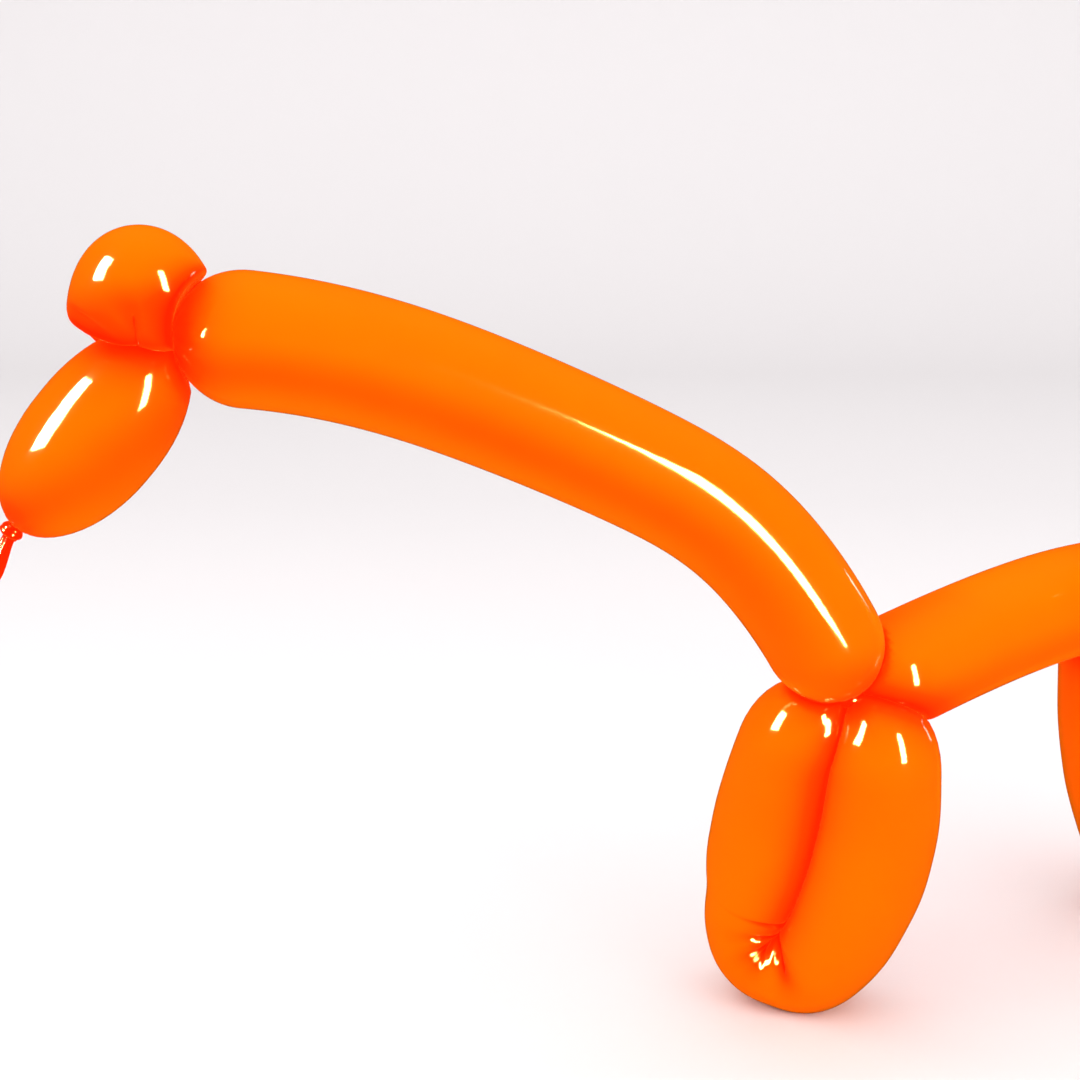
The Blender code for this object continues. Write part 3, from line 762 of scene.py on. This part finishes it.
def latex():
    """Glossy stretched latex: bright orange where blown up, deep red where slack, with painted shade and glow
    that redden it where pressed together.
    """
    material = bpy.data.materials.new("orange latex")
    material.use_nodes = True
    nodes = material.node_tree.nodes
    links = material.node_tree.links
    shader = nodes["Principled BSDF"]
    shader.inputs["IOR"].default_value = LATEX_IOR
    shader.inputs["Specular Tint"].default_value = GLOSS_TINT
    shader.inputs["Sheen Weight"].default_value = RIM_WEIGHT
    shader.inputs["Sheen Roughness"].default_value = RIM_ROUGHNESS
    shader.inputs["Sheen Tint"].default_value = RIM_TINT
    shader.inputs["Emission Color"].default_value = PAINTED_GLOW_COLOUR

    place = node(nodes, "ShaderNodeTexCoord")
    cloud = node(nodes, "ShaderNodeTexNoise", Scale=22.0, Detail=3.0, Roughness=0.5)
    grain = node(nodes, "ShaderNodeTexNoise", Scale=420.0, Detail=2.0, Roughness=0.6)
    links.new(place.outputs["Object"], cloud.inputs["Vector"])
    links.new(place.outputs["Object"], grain.inputs["Vector"])

    slack = node(nodes, "ShaderNodeAttribute", attribute_name="slack")
    # Painted crease shade from the mesh, taken with the slack latex's own deeper red
    crevice = node(nodes, "ShaderNodeAttribute", attribute_name="crevice")
    deeper = node(nodes, "ShaderNodeMath", operation="MAXIMUM")
    links.new(slack.outputs["Fac"], deeper.inputs[0])
    links.new(crevice.outputs["Fac"], deeper.inputs[1])
    clouded = node(nodes, "ShaderNodeMath", operation="MULTIPLY_ADD")
    clouded.inputs[1].default_value = CLOUD_SHARE
    links.new(cloud.outputs["Fac"], clouded.inputs[0])
    links.new(deeper.outputs["Value"], clouded.inputs[2])

    # Painted shade: redder where the surface faces partly down, on its lower sides, and not near the floor
    surface = node(nodes, "ShaderNodeNewGeometry")
    parts = node(nodes, "ShaderNodeSeparateXYZ")
    links.new(surface.outputs["Normal"], parts.inputs["Vector"])
    facing = node(nodes, "ShaderNodeMath", operation="MULTIPLY_ADD")
    facing.inputs[1].default_value = 0.5
    facing.inputs[2].default_value = 0.5
    links.new(parts.outputs["Z"], facing.inputs[0])
    underside_shade = colour_ramp(nodes, ((UNDERSIDE_FROM, (0, 0, 0, 1)), (UNDERSIDE_MOST, (1, 1, 1, 1)),
                                    (UNDERSIDE_TO, (0, 0, 0, 1))), "EASE")
    links.new(facing.outputs["Value"], underside_shade.inputs["Fac"])
    spot = node(nodes, "ShaderNodeSeparateXYZ")
    links.new(place.outputs["Object"], spot.inputs["Vector"])
    height = node(nodes, "ShaderNodeMapRange")
    height.inputs["From Min"].default_value = FLOOR_LIT_BELOW
    height.inputs["From Max"].default_value = FLOOR_UNLIT_ABOVE
    height.inputs["To Max"].default_value = UNDERSIDE_PAINTED_SHADE
    links.new(spot.outputs["Z"], height.inputs["Value"])
    redder = node(nodes, "ShaderNodeMath", operation="MULTIPLY_ADD")
    links.new(underside_shade.outputs["Color"], redder.inputs[0])
    links.new(height.outputs["Result"], redder.inputs[1])
    links.new(clouded.outputs["Value"], redder.inputs[2])

    # Painted glow: the latex shines red by itself where it is slack or in painted crease shade
    glow = node(nodes, "ShaderNodeMath", operation="MULTIPLY")
    glow.inputs[1].default_value = PAINTED_GLOW_STRENGTH
    links.new(deeper.outputs["Value"], glow.inputs[0])
    links.new(glow.outputs["Value"], shader.inputs["Emission Strength"])

    ramp = colour_ramp(nodes, LATEX_COLOURS)
    links.new(redder.outputs["Value"], ramp.inputs["Fac"])
    links.new(ramp.outputs["Color"], shader.inputs["Base Color"])

    rough = node(nodes, "ShaderNodeMapRange")
    rough.inputs["To Min"].default_value = SMOOTHEST
    rough.inputs["To Max"].default_value = ROUGHEST
    links.new(grain.outputs["Fac"], rough.inputs["Value"])
    links.new(rough.outputs["Result"], shader.inputs["Roughness"])

    bump = node(nodes, "ShaderNodeBump", Strength=0.02, Distance=0.0004)
    links.new(grain.outputs["Fac"], bump.inputs["Height"])
    links.new(bump.outputs["Normal"], shader.inputs["Normal"])
    return material


def dress(piece):
    """Makes a piece stand for the balloon and ride on the only body."""
    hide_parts("balloon")
    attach(piece, "root")


def make_camera(shift):
    """Camera at the photograph's place and angle."""
    tilt = math.radians(CAMERA_TILT)
    ahead = np.array((0, math.cos(tilt), -math.sin(tilt)))
    up = np.array((0, math.sin(tilt), math.cos(tilt)))
    right = np.array((1, 0, 0))
    scale = SHOULDER_FLOOR_DEPTH / FOCAL_PIXELS
    across = (SHOULDER_FLOOR_PIXEL[0] - IMAGE_PIXELS / 2) * scale
    down = (SHOULDER_FLOOR_PIXEL[1] - IMAGE_PIXELS / 2) * scale
    place = shift - across * right - SHOULDER_FLOOR_DEPTH * ahead + down * up
    data = bpy.data.cameras.new("camera")
    data.sensor_width = SENSOR_WIDTH_MM
    data.lens = FOCAL_PIXELS / IMAGE_PIXELS * SENSOR_WIDTH_MM
    data.clip_start = 0.01
    camera = bpy.data.objects.new("camera", data)
    camera.location = Vector(place)
    camera.rotation_euler = (math.radians(90) - tilt, 0, 0)
    bpy.context.scene.collection.objects.link(camera)
    bpy.context.scene.camera = camera


def area_light(name, target, azimuth, elevation, distance, width, height, radiance):
    """Area light that faces target; azimuth is from the camera's side, positive to its right."""
    turn = math.radians(azimuth)
    rise = math.radians(elevation)
    out = Vector((math.sin(turn) * math.cos(rise), -math.cos(turn) * math.cos(rise), math.sin(rise)))
    data = bpy.data.lights.new(name, "AREA")
    data.shape = "RECTANGLE"
    data.size = width
    data.size_y = height
    data.energy = radiance * math.pi * width * height
    lamp = bpy.data.objects.new(name, data)
    lamp.location = target + distance * out
    lamp.rotation_euler = out.to_track_quat("Z", "Y").to_euler()
    lamp.visible_camera = False
    bpy.context.scene.collection.objects.link(lamp)
    return lamp


def gloss_light(name, azimuth, elevation, distance, width, height, radiance):
    """Softbox that only shows as a highlight."""
    lamp = area_light(name, Vector(SOFTBOX_TARGET), azimuth, elevation, distance, width, height, radiance)
    lamp.visible_diffuse = False
    return lamp


def make_backdrop():
    """White paper that lies on the floor and sweeps up behind."""
    turn = np.radians(np.arange(0, 90 + SWEEP_STEP, SWEEP_STEP))
    profile = [(y, 0.0) for y in PAPER_ROWS]
    profile += [(SWEEP_START + SWEEP_RADIUS * math.sin(t), SWEEP_RADIUS * (1 - math.cos(t))) for t in turn]
    profile.append((SWEEP_START + SWEEP_RADIUS, PAPER_TOP))
    points = [(x, y, z) for y, z in profile for x in PAPER_COLUMNS]
    wide = len(PAPER_COLUMNS)
    faces = [(wide * i + k, wide * i + k + 1, wide * (i + 1) + k + 1, wide * (i + 1) + k)
             for i in range(len(profile) - 1) for k in range(wide - 1)]
    mesh = bpy.data.meshes.new("paper")
    mesh.from_pydata(points, [], faces)
    mesh.shade_smooth()
    paper = bpy.data.objects.new("paper", mesh)
    bpy.context.scene.collection.objects.link(paper)
    paper.data.materials.append(paper_material())
    paper.visible_glossy = False


def paper_material():
    """Pale matt paper with painted light: lightest in front of the animal, where it throws light back at it,
    and darker behind it.
    """
    material = bpy.data.materials.new("pale paper")
    material.use_nodes = True
    nodes = material.node_tree.nodes
    links = material.node_tree.links
    shader = nodes["Principled BSDF"]
    shader.inputs["Roughness"].default_value = PAPER_ROUGHNESS
    shader.inputs["Specular IOR Level"].default_value = PAPER_GLOSS
    place = node(nodes, "ShaderNodeTexCoord")
    parts = node(nodes, "ShaderNodeSeparateXYZ")
    links.new(place.outputs["Object"], parts.inputs["Vector"])
    depth = node(nodes, "ShaderNodeMapRange")
    depth.inputs["From Min"].default_value = PAPER_FRONT
    depth.inputs["From Max"].default_value = SWEEP_START + SWEEP_RADIUS
    links.new(parts.outputs["Y"], depth.inputs["Value"])
    # Painted light: the paper is lightest in front, darker behind and a little lighter again up the sweep
    ramp = colour_ramp(nodes, [(at, (*(tone * tint for tint in PAPER_TINT), 1)) for at, tone in PAPER_PAINTED_LIGHT_TONES])
    links.new(depth.outputs["Result"], ramp.inputs["Fac"])
    links.new(ramp.outputs["Color"], shader.inputs["Base Color"])
    return material


def make_studio():
    """Seamless white paper, even soft light from above, and softboxes that give the highlights."""
    make_backdrop()
    world = bpy.data.worlds.new("white studio")
    world.use_nodes = True
    background = world.node_tree.nodes["Background"]
    background.inputs["Color"].default_value = ROUND_LIGHT_COLOUR
    background.inputs["Strength"].default_value = ROUND_LIGHT_STRENGTH
    world.cycles_visibility.glossy = False
    bpy.context.scene.world = world

    above = area_light("overhead", Vector((0, 0, 0)), 0, OVERHEAD_ELEVATION, OVERHEAD_HEIGHT, OVERHEAD_SIZE,
                       OVERHEAD_SIZE, OVERHEAD_RADIANCE)
    above.visible_glossy = False
    for name, place in SOFTBOXES.items():
        gloss_light(name, *place)
    bpy.context.scene.view_settings.view_transform = "Standard"


def build():
    """The whole scene."""
    skin = tube_mesh("balloon_skin", shape_animal())
    facing_out(skin)
    shift = align_to_cad(skin)
    skin.data.materials.append(latex())
    dress(skin)
    make_camera(shift)
    make_studio()


build()
